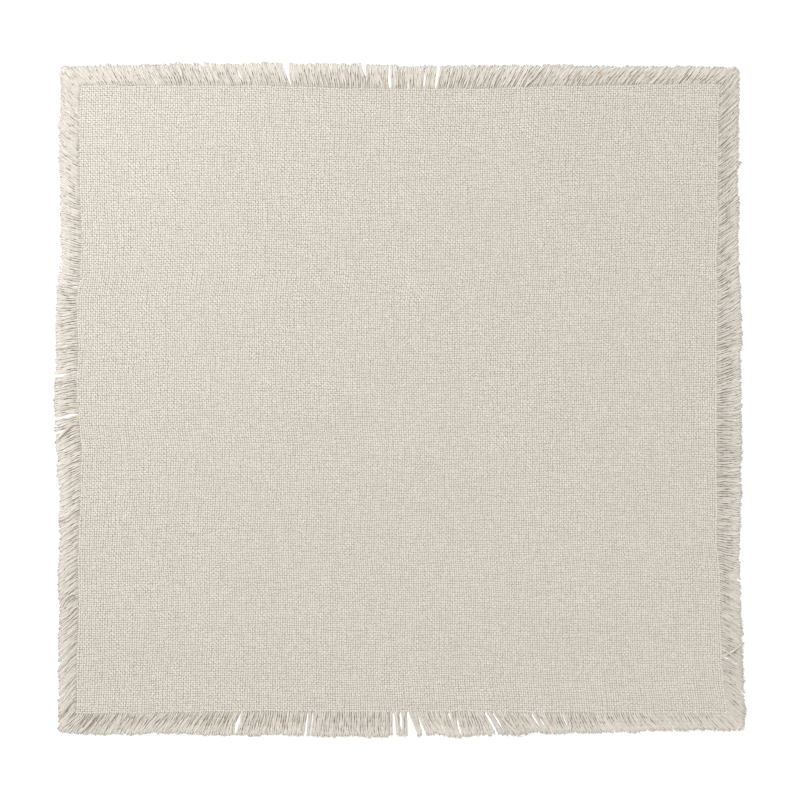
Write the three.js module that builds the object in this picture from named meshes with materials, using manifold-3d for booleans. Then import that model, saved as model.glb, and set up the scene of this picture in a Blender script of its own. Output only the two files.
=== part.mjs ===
// A square table napkin of plain-woven cotton, laid out flat, with a loose fringe on
// all four sides. Millimetres, +Z up. The origin is the middle of the cloth, on the
// surface that it lies on. From above, +X is the right side and +Y the top side.
import * as THREE from 'three';
import { mergeVertices } from 'three/addons/utils/BufferGeometryUtils.js';
import Module from 'manifold-3d';

const wasm = await Module();
wasm.setup();

// The woven ground with the strips at its edges, and the sections it is drawn in.
const GROUND = { width: 480, depth: 470, thickness: 1.6, sections: 24 };

// The shallow unevenness of the ground's upper face: height and length of its waves.
const SWELL = { height: 0.2, acrossX: 150, acrossY: 190 };

// The last yarns of the ground along each side, which hold that side's strands.
const STRIP = { width: 2.2, thickness: 1.4 };

// The parting between two neighbouring pieces, and how far the left and right strands
// keep back from the corners, where the top and bottom strands fan out.
const PARTING = 0.3;
const CORNER_ROOM = 1.5;

// A strand stands for a few loose yarns that cling together. Widths are shares of the
// strand spacing, measured along the side, and heights are in millimetres.
const STRAND = {
  perSide: 74,
  rootDepth: 1,
  steepestLean: 41,
  topShare: 0.62,
  bow: 0.7,
};
const STRAND_SECTIONS = [
  { along: 0, width: 0.84, height: 1.2, bow: 0 },
  { along: 0.5, width: 0.76, height: 1.15, bow: 1 },
  { along: 1, width: 0.54, height: 0.85, bow: 0 },
];

// How much one strand differs from the next: length and width as shares, lean in degrees.
const VARIETY = { length: 0.06, width: 0.08, lean: 1.6 };

// How each side lies. `at` is the share of the side's length, from the left or from the
// bottom. `out` is how far the edge wanders outward in millimetres. `lean` is the slant
// of the strands in degrees, to the right or to the top. `length` is in millimetres.
const TOP = [
  { at: 0.0, out: 0.75, lean: -34, length: 16.3 },
  { at: 0.13, out: 0.6, lean: -28, length: 17.6 },
  { at: 0.27, out: 0.5, lean: -18, length: 18.0 },
  { at: 0.37, out: -0.6, lean: -14, length: 17.8 },
  { at: 0.42, out: -1.5, lean: -5, length: 18.1 },
  { at: 0.5, out: -1.9, lean: 0, length: 17.3 },
  { at: 0.57, out: -1.9, lean: 12, length: 17.6 },
  { at: 0.66, out: -1.5, lean: 27, length: 19.4 },
  { at: 0.74, out: 0.0, lean: 29, length: 18.0 },
  { at: 0.88, out: 0.9, lean: 40, length: 18.4 },
  { at: 0.96, out: 1.1, lean: 33, length: 16.6 },
  { at: 1.0, out: 1.1, lean: 38, length: 16.2 },
];
const BOTTOM = [
  { at: 0.0, out: 0.75, lean: -30, length: 17.0 },
  { at: 0.11, out: 0.4, lean: -33, length: 19.9 },
  { at: 0.145, out: -0.2, lean: -38, length: 20.5 },
  { at: 0.19, out: -0.45, lean: -30, length: 20.2 },
  { at: 0.235, out: -0.45, lean: -22, length: 18.8 },
  { at: 0.32, out: -0.45, lean: -8, length: 17.6 },
  { at: 0.46, out: -0.6, lean: 0, length: 19.5 },
  { at: 0.5, out: -0.6, lean: 1, length: 18.8 },
  { at: 0.535, out: -0.6, lean: 28, length: 18.7 },
  { at: 0.58, out: -0.6, lean: 20, length: 19.8 },
  { at: 0.605, out: -0.6, lean: 16, length: 18.4 },
  { at: 0.635, out: -0.6, lean: 30, length: 20.3 },
  { at: 0.695, out: 0.3, lean: 34, length: 18.4 },
  { at: 0.735, out: 0.3, lean: 22, length: 16.2 },
  { at: 0.82, out: 0.3, lean: 27, length: 16.8 },
  { at: 0.88, out: 0.3, lean: 35, length: 16.0 },
  { at: 0.97, out: 0.3, lean: 35, length: 15.8 },
  { at: 1.0, out: 1.3, lean: 42, length: 17.2 },
];
const LEFT = [
  { at: 0.0, out: 2.6, lean: -45, length: 19.5 },
  { at: 0.035, out: 1.9, lean: -45, length: 20.7 },
  { at: 0.09, out: 1.0, lean: -43, length: 20.7 },
  { at: 0.18, out: 0.0, lean: -40, length: 19.6 },
  { at: 0.245, out: 0.75, lean: -38, length: 18.5 },
  { at: 0.305, out: -0.4, lean: -37, length: 17.8 },
  { at: 0.35, out: -1.5, lean: -31, length: 19.3 },
  { at: 0.42, out: -2.2, lean: -27, length: 20.2 },
  { at: 0.46, out: 0.0, lean: -28, length: 20.1 },
  { at: 0.48, out: 0.3, lean: -6, length: 17.8 },
  { at: 0.54, out: 1.3, lean: -17, length: 17.6 },
  { at: 0.58, out: 0.4, lean: -5, length: 17.0 },
  { at: 0.635, out: 1.1, lean: -12, length: 16.3 },
  { at: 0.66, out: 1.1, lean: 5, length: 15.5 },
  { at: 0.7, out: -1.5, lean: 15, length: 16.3 },
  { at: 0.765, out: -2.2, lean: 14, length: 16.2 },
  { at: 0.835, out: -0.75, lean: 30, length: 16.9 },
  { at: 0.9, out: -0.4, lean: 36, length: 18.0 },
  { at: 0.96, out: -1.1, lean: 36, length: 18.0 },
  { at: 1.0, out: -1.3, lean: 37, length: 20.0 },
];
const RIGHT = [
  { at: 0.0, out: 6.75, lean: -45, length: 15.9 },
  { at: 0.02, out: 6.0, lean: -40, length: 18.6 },
  { at: 0.045, out: 4.0, lean: -33, length: 19.0 },
  { at: 0.085, out: 2.6, lean: -28, length: 19.1 },
  { at: 0.18, out: 1.7, lean: -27, length: 17.4 },
  { at: 0.225, out: 1.1, lean: -25, length: 17.0 },
  { at: 0.275, out: -0.75, lean: -8, length: 16.7 },
  { at: 0.34, out: -1.1, lean: -5, length: 18.1 },
  { at: 0.47, out: -1.3, lean: 0, length: 19.3 },
  { at: 0.535, out: -1.3, lean: 18, length: 19.5 },
  { at: 0.58, out: -1.3, lean: 12, length: 19.0 },
  { at: 0.62, out: -1.3, lean: 25, length: 20.5 },
  { at: 0.735, out: -0.75, lean: 35, length: 19.2 },
  { at: 0.8, out: -0.4, lean: 38, length: 19.5 },
  { at: 0.87, out: -0.75, lean: 37, length: 19.7 },
  { at: 0.98, out: 0.75, lean: 42, length: 20.2 },
  { at: 1.0, out: 1.1, lean: 45, length: 20.7 },
];

const HALF_WIDTH = GROUND.width / 2;
const HALF_DEPTH = GROUND.depth / 2;

// The ground stops where the strips begin, and the left and right strips fit between
// the top and bottom ones.
const INSET = STRIP.width + PARTING;

// Each side on the nominal rectangle: its length, how far its strip and its strands run
// each way from its middle, and where a point along it and out from its edge lies.
const SIDES = {
  fringe_top: {
    rows: TOP,
    length: GROUND.width,
    stripRun: HALF_WIDTH,
    strandRun: HALF_WIDTH,
    place: (along, out) => [along, HALF_DEPTH + out],
    mirrored: false,
  },
  fringe_bottom: {
    rows: BOTTOM,
    length: GROUND.width,
    stripRun: HALF_WIDTH,
    strandRun: HALF_WIDTH,
    place: (along, out) => [along, -HALF_DEPTH - out],
    mirrored: true,
  },
  fringe_left: {
    rows: LEFT,
    length: GROUND.depth,
    stripRun: HALF_DEPTH - INSET,
    strandRun: HALF_DEPTH - INSET - CORNER_ROOM,
    place: (along, out) => [-HALF_WIDTH - out, along],
    mirrored: false,
  },
  fringe_right: {
    rows: RIGHT,
    length: GROUND.depth,
    stripRun: HALF_DEPTH - INSET,
    strandRun: HALF_DEPTH - INSET - CORNER_ROOM,
    place: (along, out) => [HALF_WIDTH + out, along],
    mirrored: true,
  },
};

// Reads one column of a side's table at a share of the side, straight between its rows.
function readRow(rows, at, column) {
  const next = rows.findIndex((row) => row.at >= at);
  if (next === 0) {
    return rows[0][column];
  }
  if (next < 0) {
    return rows[rows.length - 1][column];
  }
  const before = rows[next - 1];
  const after = rows[next];
  const share = (at - before.at) / (after.at - before.at);
  return THREE.MathUtils.lerp(before[column], after[column], share);
}

// Moves a point of the nominal rectangle to where it lies on the uneven cloth.
function lay(x, y) {
  const across = THREE.MathUtils.clamp(0.5 + x / GROUND.width, 0, 1);
  const up = THREE.MathUtils.clamp(0.5 + y / GROUND.depth, 0, 1);
  const shiftX = THREE.MathUtils.lerp(-readRow(LEFT, up, 'out'), readRow(RIGHT, up, 'out'), across);
  const shiftY = THREE.MathUtils.lerp(-readRow(BOTTOM, across, 'out'), readRow(TOP, across, 'out'), up);
  return [x + shiftX, y + shiftY];
}

// Keeps only positions, joins equal corners, and moves every corner with the given rule.
function reshape(geometry, rule) {
  geometry.deleteAttribute('normal');
  geometry.deleteAttribute('uv');
  const merged = mergeVertices(geometry);
  const corners = merged.getAttribute('position');
  for (let i = 0; i < corners.count; i += 1) {
    const moved = rule(corners.getX(i), corners.getY(i), corners.getZ(i));
    corners.setXYZ(i, moved[0], moved[1], moved[2]);
  }
  return merged;
}

function clothMaterial() {
  return new THREE.MeshStandardMaterial({ color: '#d2ccc0', roughness: 0.95, metalness: 0 });
}

function yarnMaterial() {
  return new THREE.MeshStandardMaterial({ color: '#d8d2c4', roughness: 0.95, metalness: 0 });
}

// The woven square: flat below, gently uneven above, its edge following the four sides.
function groundGeometry() {
  const { width, depth, thickness, sections } = GROUND;
  const slab = new THREE.BoxGeometry(width, depth, thickness, sections, sections, 1);
  const reachX = HALF_WIDTH - INSET;
  const reachY = HALF_DEPTH - INSET;
  return reshape(slab, (x, y, z) => {
    const insideX = THREE.MathUtils.clamp(x, -reachX, reachX);
    const insideY = THREE.MathUtils.clamp(y, -reachY, reachY);
    const swellX = Math.sin((2 * Math.PI * x) / SWELL.acrossX);
    const swellY = Math.cos((2 * Math.PI * y) / SWELL.acrossY);
    const swell = z > 0 ? SWELL.height * swellX * swellY : 0;
    return [...lay(insideX, insideY), z + thickness / 2 + swell];
  });
}

// The narrow strip of the cloth's edge that a side's strands grow from.
function stripGeometry(side) {
  const slab = new THREE.BoxGeometry(side.length, STRIP.width, STRIP.thickness, GROUND.sections, 1, 1);
  const strip = reshape(slab, (x, y, z) => {
    const along = THREE.MathUtils.clamp(x, -side.stripRun, side.stripRun);
    return [...lay(...side.place(along, y - STRIP.width / 2)), z + STRIP.thickness / 2];
  });
  return side.mirrored ? turnedOver(strip) : strip;
}

// Turns every triangle's winding round, for a form that was drawn as its mirror image.
function turnedOver(geometry) {
  const index = geometry.getIndex();
  for (let i = 0; i < index.count; i += 3) {
    const second = index.getX(i + 1);
    index.setX(i + 1, index.getX(i + 2));
    index.setX(i + 2, second);
  }
  return geometry;
}

// A repeatable scatter between -1 and 1, so that no two strands are quite alike.
function scatter(index, pace) {
  const goldenAngle = Math.PI * (3 - Math.sqrt(5));
  return Math.sin(goldenAngle * index * pace);
}

// One flat-bottomed tapered strand. It leans along the side, and its end is trimmed
// parallel to the side.
function strandGeometry(side, index) {
  const spacing = (2 * side.strandRun) / STRAND.perSide;
  const rootAlong = (index + 0.5) * spacing - side.strandRun;
  const at = 0.5 + rootAlong / side.length;
  const steepest = STRAND.steepestLean;
  const lean = THREE.MathUtils.clamp(
    readRow(side.rows, at, 'lean') + VARIETY.lean * scatter(index, 1),
    -steepest,
    steepest,
  );
  const length = readRow(side.rows, at, 'length') * (1 + VARIETY.length * scatter(index, 1.7));
  const fullness = 1 + VARIETY.width * scatter(index, 2.3);
  const slant = THREE.MathUtils.degToRad(lean);
  const bow = STRAND.bow * scatter(index, 0.37);

  const box = new THREE.BoxGeometry(1, 1, 1, 1, STRAND_SECTIONS.length - 1, 1);
  const strand = reshape(box, (x, y, z) => {
    const step = Math.round((y + 0.5) * (STRAND_SECTIONS.length - 1));
    const section = STRAND_SECTIONS[step];
    const reach = section.along * length;
    const isTop = z > 0;
    const width = spacing * section.width * fullness * (isTop ? STRAND.topShare : 1);
    const along = rootAlong + reach * Math.sin(slant) + section.bow * bow + x * width;
    const out = step === 0 ? -STRAND.rootDepth : reach * Math.cos(slant);
    return [...lay(...side.place(along, out)), isTop ? section.height : 0];
  });
  return side.mirrored ? turnedOver(strand) : strand;
}

// Turns a closed geometry into a solid that can be joined.
function solid(geometry) {
  return new wasm.Manifold(
    new wasm.Mesh({
      numProp: 3,
      vertProperties: new Float32Array(geometry.getAttribute('position').array),
      triVerts: new Uint32Array(geometry.getIndex().array),
    }),
  );
}

// Turns a joined solid back into a geometry.
function geometryOf(joined) {
  const mesh = joined.getMesh();
  const geometry = new THREE.BufferGeometry();
  geometry.setAttribute('position', new THREE.BufferAttribute(mesh.vertProperties, 3));
  geometry.setIndex(new THREE.BufferAttribute(mesh.triVerts, 1));
  geometry.computeVertexNormals();
  return geometry;
}

// One side's fringe: the strip with all its strands fused to it.
function fringeGeometry(side) {
  let joined = solid(stripGeometry(side));
  for (let index = 0; index < STRAND.perSide; index += 1) {
    joined = joined.add(solid(strandGeometry(side, index)));
  }
  return geometryOf(joined);
}

function namedMesh(name, geometry, material) {
  const mesh = new THREE.Mesh(geometry, material);
  mesh.name = name;
  return mesh;
}

const napkin = new THREE.Group();
napkin.add(namedMesh('ground', groundGeometry(), clothMaterial()));
for (const [name, side] of Object.entries(SIDES)) {
  napkin.add(namedMesh(name, fringeGeometry(side), yarnMaterial()));
}

export default napkin;
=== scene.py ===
"""A square cotton table napkin, woven yarn by yarn and laid out flat, with its fringe combed loosely out."""

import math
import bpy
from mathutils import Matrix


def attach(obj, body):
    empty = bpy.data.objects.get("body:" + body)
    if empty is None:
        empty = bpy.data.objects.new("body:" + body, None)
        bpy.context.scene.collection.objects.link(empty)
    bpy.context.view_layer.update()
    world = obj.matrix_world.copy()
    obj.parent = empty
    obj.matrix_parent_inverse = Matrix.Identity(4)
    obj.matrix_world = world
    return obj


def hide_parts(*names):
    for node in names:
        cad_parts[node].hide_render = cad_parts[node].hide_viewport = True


bl_info = {
    "name": "Fringed table napkin",
    "version": (1, 0, 0),
    "blender": (4, 5, 0),
    "location": "View3D > Sidebar > Napkin",
    "description": "Weaves a square cotton napkin and combs out the fringe on its four sides",
    "category": "Add Mesh",
}

from collections import namedtuple

import bpy
import numpy as np
from mathutils import Vector

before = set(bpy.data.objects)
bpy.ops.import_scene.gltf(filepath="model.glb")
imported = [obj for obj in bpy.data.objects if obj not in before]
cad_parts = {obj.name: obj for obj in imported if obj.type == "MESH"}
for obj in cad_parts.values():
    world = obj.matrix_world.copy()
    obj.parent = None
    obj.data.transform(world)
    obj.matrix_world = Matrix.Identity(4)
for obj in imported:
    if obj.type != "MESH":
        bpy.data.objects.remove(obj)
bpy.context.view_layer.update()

MM = 0.001
TABLE_LEVEL = -0.0002

# How a side of the napkin lies, read from its left or lower end to the other. at is the share of the side,
# out is how far its edge stands out of a true rectangle in millimetres, lean is the slant of the fringe there
# in degrees, to the right or upwards where it is above nought, and length is the fringe's in millimetres.
Lie = namedtuple("Lie", "at out lean length")

TOP_LIE = (
    Lie(0.00, 0.75, -34, 16.3),
    Lie(0.13, 0.60, -28, 17.6),
    Lie(0.27, 0.50, -18, 18.0),
    Lie(0.37, -0.60, -14, 17.8),
    Lie(0.42, -1.50, -5, 18.1),
    Lie(0.50, -1.90, 0, 17.3),
    Lie(0.57, -1.90, 12, 17.6),
    Lie(0.66, -1.50, 27, 19.4),
    Lie(0.74, 0.00, 29, 18.0),
    Lie(0.88, 0.90, 40, 18.4),
    Lie(0.96, 1.10, 33, 16.6),
    Lie(1.00, 1.10, 38, 16.2),
)
BOTTOM_LIE = (
    Lie(0.000, 0.75, -30, 17.0),
    Lie(0.110, 0.40, -33, 19.9),
    Lie(0.145, -0.20, -38, 20.5),
    Lie(0.190, -0.45, -30, 20.2),
    Lie(0.235, -0.45, -22, 18.8),
    Lie(0.320, -0.45, -8, 17.6),
    Lie(0.460, -0.60, 0, 19.5),
    Lie(0.500, -0.60, 1, 18.8),
    Lie(0.535, -0.60, 28, 18.7),
    Lie(0.580, -0.60, 20, 19.8),
    Lie(0.605, -0.60, 16, 18.4),
    Lie(0.635, -0.60, 30, 20.3),
    Lie(0.695, 0.30, 34, 18.4),
    Lie(0.735, 0.30, 22, 16.2),
    Lie(0.820, 0.30, 27, 16.8),
    Lie(0.880, 0.30, 35, 16.0),
    Lie(0.970, 0.30, 35, 15.8),
    Lie(1.000, 1.30, 42, 17.2),
)
LEFT_LIE = (
    Lie(0.000, 2.60, -52, 19.5),
    Lie(0.035, 1.90, -50, 20.7),
    Lie(0.090, 1.00, -43, 20.7),
    Lie(0.180, 0.00, -40, 19.6),
    Lie(0.245, 0.75, -38, 18.5),
    Lie(0.305, -0.40, -37, 17.8),
    Lie(0.350, -1.50, -31, 19.3),
    Lie(0.420, -2.20, -27, 20.2),
    Lie(0.460, 0.00, -28, 20.1),
    Lie(0.480, 0.30, -6, 17.8),
    Lie(0.540, 1.30, -17, 17.6),
    Lie(0.580, 0.40, -5, 17.0),
    Lie(0.635, 1.10, -12, 16.3),
    Lie(0.660, 1.10, 5, 15.5),
    Lie(0.700, -1.50, 15, 16.3),
    Lie(0.765, -2.20, 14, 16.2),
    Lie(0.835, -0.75, 30, 16.9),
    Lie(0.900, -0.40, 36, 18.0),
    Lie(0.960, -1.10, 36, 18.0),
    Lie(1.000, -1.30, 37, 20.0),
)
RIGHT_LIE = (
    Lie(0.000, 6.75, -45, 15.9),
    Lie(0.020, 6.00, -40, 18.6),
    Lie(0.045, 4.00, -33, 19.0),
    Lie(0.085, 2.60, -28, 19.1),
    Lie(0.180, 1.70, -27, 17.4),
    Lie(0.225, 1.10, -25, 17.0),
    Lie(0.275, -0.75, -8, 16.7),
    Lie(0.340, -1.10, -5, 18.1),
    Lie(0.470, -1.30, 0, 19.3),
    Lie(0.535, -1.30, 18, 19.5),
    Lie(0.580, -1.30, 12, 19.0),
    Lie(0.620, -1.30, 25, 20.5),
    Lie(0.735, -0.75, 35, 19.2),
    Lie(0.800, -0.40, 38, 19.5),
    Lie(0.870, -0.75, 37, 19.7),
    Lie(0.980, 0.75, 42, 20.2),
    Lie(1.000, 1.10, 45, 20.7),
)

# Where neighbouring yarns part and the table shows between them. root and tip are places along the side, at
# the cloth's edge and at the fringe's end. root_gap, mid_gap and tip_gap are the widths of the opening there
# and half way out, below nought where the yarns close over it. All are in millimetres, the places from the
# middle of the napkin.
Parting = namedtuple("Parting", "root tip root_gap mid_gap tip_gap")

TOP_PARTINGS = (
    Parting(-181.0, -191.0, 0.6, 0.7, -2.0),
    Parting(-116.4, -121.5, -1.5, 0.9, -1.5),
    Parting(-81.7, -83.5, 0.0, 1.6, 3.4),
    Parting(-25.8, -28.0, -2.0, -0.8, 1.6),
    Parting(-7.1, -7.4, 1.2, 1.3, 0.0),
    Parting(6.6, 6.2, 0.9, 0.7, -1.2),
    Parting(19.2, 20.0, 0.4, 0.8, -0.8),
    Parting(27.8, 31.0, 1.0, 1.6, 1.4),
)
BOTTOM_PARTINGS = (
    Parting(-195.7, -206.5, 1.2, -1.5, -3.0),
    Parting(-117.8, -122.0, -0.4, 1.7, -0.6),
    Parting(-68.2, -69.2, 0.8, 1.1, 0.5),
    Parting(-64.5, -65.8, 0.9, 1.5, 1.3),
    Parting(-3.8, -2.6, 0.7, 1.2, 2.2),
    Parting(1.0, 1.6, 1.3, 1.6, 0.6),
    Parting(7.0, 10.5, 1.4, 4.2, 8.6),
    Parting(13.4, 20.4, 0.3, 1.8, 2.0),
    Parting(37.6, 41.6, 0.8, 0.5, -1.0),
    Parting(42.0, 46.0, -0.3, 1.1, -0.6),
    Parting(64.4, 75.0, 1.9, 1.6, 0.0),
    Parting(70.0, 80.0, 1.0, 0.9, -1.2),
    Parting(100.0, 109.5, 0.9, 1.1, -1.0),
    Parting(104.0, 113.5, -0.8, 1.2, 0.2),
    Parting(177.0, 186.4, -3.0, -1.5, 1.2),
)
LEFT_PARTINGS = (
    Parting(-10.8, -14.0, 0.9, 1.9, 0.7),
    Parting(20.6, 18.8, 0.2, 0.7, 0.3),
    Parting(85.0, 86.0, 0.7, -0.4, -2.0),
    Parting(88.0, 90.0, 0.5, -0.6, -2.0),
)
RIGHT_PARTINGS = ()

# Single yarns that stray from their neighbours. at is the place of the root from the middle, reach is how far
# along the side the tip lands from the root, bow is how far the middle swings out of the straight line to the
# tip and lift is how high it rides over the others, all in millimetres.
Stray = namedtuple("Stray", "at reach bow lift")

TOP_STRAYS = (
    Stray(95.0, 14.5, 1.6, 1.3),
    Stray(-162.0, -5.0, 1.2, 1.0),
)
BOTTOM_STRAYS = (
    Stray(-228.0, -13.0, 2.2, 1.4),
    Stray(78.0, 13.0, -3.0, 1.2),
    Stray(123.0, 4.5, 3.4, 1.4),
    Stray(-1.8, 2.4, -0.4, 0.2),
    Stray(3.4, -2.4, 0.3, 0.5),
)
LEFT_STRAYS = (
    Stray(-19.0, -14.5, 3.0, 1.6),
    Stray(-147.0, -9.0, 3.4, 1.5),
    Stray(-226.0, -16.0, 3.4, 1.4),
)
RIGHT_STRAYS = (
    Stray(-193.0, 9.5, -0.6, 1.4),
    Stray(-187.0, -10.5, 0.6, 1.6),
    Stray(164.0, 12.0, -1.2, 1.2),
)

# Places where the upper yarns dip and the light hardly reaches, with painted shade laid on them. at is along
# the side, out is how far it lies from the cloth's edge and radius how far it spreads outwards, all in
# millimetres. It spreads less along the side. depth is how deep it dips and how dark its painted shade is,
# from 0 to 1.
Hollow = namedtuple("Hollow", "at out radius depth")

TOP_HOLLOWS = (
    Hollow(-138.0, 12.0, 1.6, 0.5),
    Hollow(136.0, 7.0, 3.2, 0.5),
    Hollow(152.0, 9.0, 2.6, 0.5),
    Hollow(180.0, 10.0, 2.4, 0.5),
)
BOTTOM_HOLLOWS = (
    Hollow(-238.0, 7.0, 2.4, 0.35),
    Hollow(-86.0, 11.0, 2.2, 0.5),
    Hollow(115.0, 8.0, 2.8, 0.5),
)
LEFT_HOLLOWS = (
    Hollow(12.2, 12.4, 2.2, 1.0),
    Hollow(37.2, 12.6, 2.2, 0.7),
    Hollow(55.5, 12.0, 2.8, 0.9),
    Hollow(-238.0, 13.0, 3.6, 0.8),
    Hollow(-150.0, 12.0, 2.4, 0.5),
    Hollow(-92.0, 13.0, 2.4, 0.6),
)
RIGHT_HOLLOWS = (
    Hollow(-58.0, 6.0, 1.8, 0.7),
    Hollow(188.0, 9.0, 2.6, 0.5),
)

# Where the fringes of two sides meet. x and y are where their outlines would cross, from the middle, and
# radius is how round the fringe is trimmed there, all in millimetres.
Corner = namedtuple("Corner", "x y radius")

CORNERS = (
    Corner(-256.0, 251.0, 9.0),
    Corner(256.5, 249.5, 5.0),
    Corner(-257.0, -251.0, 6.5),
    Corner(260.5, -248.0, 6.0),
)

# The fringe is fluffier round these places, given from the middle in millimetres, and blurs into a soft mass
# with less painted shade in its furrows. Where the amount is below zero it lies sleeker instead, with deeper
# furrows between its yarns, more painted shade in them and a little painted shade on its yarns.
Fluff = namedtuple("Fluff", "x y radius amount")

FLUFFS = (
    Fluff(-240.0, 235.0, 130.0, 1.0),
    Fluff(240.0, -235.0, 110.0, 0.5),
    Fluff(40.0, -250.0, 130.0, 0.4),
    Fluff(-250.0, -215.0, 110.0, -0.8),
    Fluff(215.0, 250.0, 130.0, -0.7),
)

# A side is named by the two directions that it works in: along is where its rows are read to, and outward is
# where its fringe points. Tone is painted light and shade: how much lighter or darker its yarns are painted
# than the others, for how the light falls on that side.
Side = namedtuple("Side", "name along outward lie partings strays hollows tone seed")

SIDES = (
    Side("top", (1, 0), (0, 1), TOP_LIE, TOP_PARTINGS, TOP_STRAYS, TOP_HOLLOWS, -0.01, 11),
    Side("bottom", (1, 0), (0, -1), BOTTOM_LIE, BOTTOM_PARTINGS, BOTTOM_STRAYS, BOTTOM_HOLLOWS, 0.0, 23),
    Side("left", (0, 1), (-1, 0), LEFT_LIE, LEFT_PARTINGS, LEFT_STRAYS, LEFT_HOLLOWS, 0.0, 37),
    Side("right", (0, 1), (1, 0), RIGHT_LIE, RIGHT_PARTINGS, RIGHT_STRAYS, RIGHT_HOLLOWS, -0.04, 41),
)


class ClothSettings(bpy.types.PropertyGroup):
    """Sizes and colours of the woven ground."""

    width: bpy.props.FloatProperty(
        name="Width", description="Woven width between the side fringes", default=0.480, unit="LENGTH"
    )
    depth: bpy.props.FloatProperty(
        name="Depth", description="Woven depth between the end fringes", default=0.470, unit="LENGTH"
    )
    warp_yarns: bpy.props.IntProperty(
        name="Warp yarns", description="Yarns that run from the near side to the far side", default=283, min=8
    )
    weft_yarns: bpy.props.IntProperty(
        name="Weft yarns", description="Yarns that run from left to right", default=277, min=8
    )
    middle: bpy.props.FloatProperty(
        name="Middle", description="Height of the cloth over the table", default=0.0008, unit="LENGTH"
    )
    rise: bpy.props.FloatProperty(
        name="Rise", description="How far a yarn rises and dips at a crossing", default=0.00030, unit="LENGTH"
    )
    cover: bpy.props.FloatProperty(
        name="Cover", description="Width of a yarn as a share of the spacing", default=0.955, min=0.3, max=1.0
    )
    slub: bpy.props.FloatProperty(
        name="Slub", description="How much a yarn swells and thins, as a share", default=0.10, min=0.0
    )
    wander: bpy.props.FloatProperty(
        name="Wander", description="How far the yarns drift from straight", default=0.0004, unit="LENGTH"
    )
    colour: bpy.props.FloatVectorProperty(
        name="Colour", description="Natural unbleached cotton", default=(0.668, 0.632, 0.568), subtype="COLOR"
    )
    # Painted shade: the colour laid along a yarn's edges where it meets the next, and where it dips under the
    # other set.
    shade_colour: bpy.props.FloatVectorProperty(
        name="Shade colour",
        description="Cotton where a yarn dips or meets the next",
        default=(0.320, 0.280, 0.228),
        subtype="COLOR",
    )


class FringeSettings(bpy.types.PropertyGroup):
    """Sizes and colours of the loose yarns."""

    yarn_spread: bpy.props.FloatProperty(
        name="Yarn spread", description="How far a ply sits from the middle", default=0.00034, unit="LENGTH"
    )
    ply_width: bpy.props.FloatProperty(
        name="Ply width", description="Width of one of the two plies", default=0.00088, unit="LENGTH"
    )
    ply_height: bpy.props.FloatProperty(
        name="Ply height", description="Thickness of one of the two plies", default=0.00066, unit="LENGTH"
    )
    core_width: bpy.props.FloatProperty(
        name="Core width", description="Width of the flat core under the plies", default=0.0020, unit="LENGTH"
    )
    twist: bpy.props.FloatProperty(
        name="Twist", description="Length of one full turn of the plies", default=0.026, unit="LENGTH"
    )
    crimp: bpy.props.FloatProperty(
        name="Crimp", description="Waviness left in a yarn from the weave", default=0.00016, unit="LENGTH"
    )
    gather: bpy.props.FloatProperty(
        name="Gather", description="How strongly yarns draw together in tufts", default=0.15, min=0.0, max=1.0
    )
    fibres: bpy.props.IntProperty(
        name="Loose fibres", description="Fine fibres that stand out of each yarn", default=6, min=0
    )
    frayed: bpy.props.IntProperty(
        name="Frayed ends", description="Short fibres that a yarn's end opens into", default=7, min=0
    )
    colour: bpy.props.FloatVectorProperty(
        name="Colour", description="Cotton of the fringe", default=(0.574, 0.532, 0.469), subtype="COLOR"
    )
    # Paler ends of the fringe: partly the yarns' own paler ends and partly painted light that lifts the
    # shaded ends.
    tip_colour: bpy.props.FloatVectorProperty(
        name="Tip colour", description="Ends of the fringe", default=(0.628, 0.591, 0.531), subtype="COLOR"
    )
    # Painted shade: the colour laid on the fringe where its yarns lie low, in furrows and in hollows.
    hollow_shade_colour: bpy.props.FloatVectorProperty(
        name="Hollow colour",
        description="Cotton deep between the yarns",
        default=(0.380, 0.302, 0.218),
        subtype="COLOR",
    )


class StageSettings(bpy.types.PropertyGroup):
    """The table, the light and the camera."""

    table_size: bpy.props.FloatProperty(
        name="Table size", description="Side of the table top", default=6.0, unit="LENGTH"
    )
    table_colour: bpy.props.FloatVectorProperty(
        name="Table colour", description="White table top", default=(0.95, 0.95, 0.95), subtype="COLOR"
    )
    table_glow: bpy.props.FloatProperty(
        name="Table glow", description="Strength of the light that comes through the table top", default=0.30
    )
    window_strength: bpy.props.FloatProperty(
        name="Window light", description="Strength of the broad light from the far left", default=1.9
    )
    lamp_power: bpy.props.FloatProperty(
        name="Lamp", description="Power of the soft lamp near the far left corner", default=1.58, unit="POWER"
    )
    sky_strength: bpy.props.FloatProperty(
        name="Fill", description="Strength of the even light from all round", default=0.86
    )
    camera_height: bpy.props.FloatProperty(
        name="Camera height", description="Camera over the table", default=1.418, unit="LENGTH"
    )


class NapkinSettings(bpy.types.PropertyGroup):
    """Everything that a user would change."""

    cloth: bpy.props.PointerProperty(type=ClothSettings)
    fringe: bpy.props.PointerProperty(type=FringeSettings)
    stage: bpy.props.PointerProperty(type=StageSettings)


def column(rows, name):
    """One column of a table of rows."""
    return np.array([getattr(row, name) for row in rows], dtype=float)


def read_lie(lie, name, at):
    """A value of a side's table at each share of that side."""
    return np.interp(at, column(lie, "at"), column(lie, name))


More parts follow.
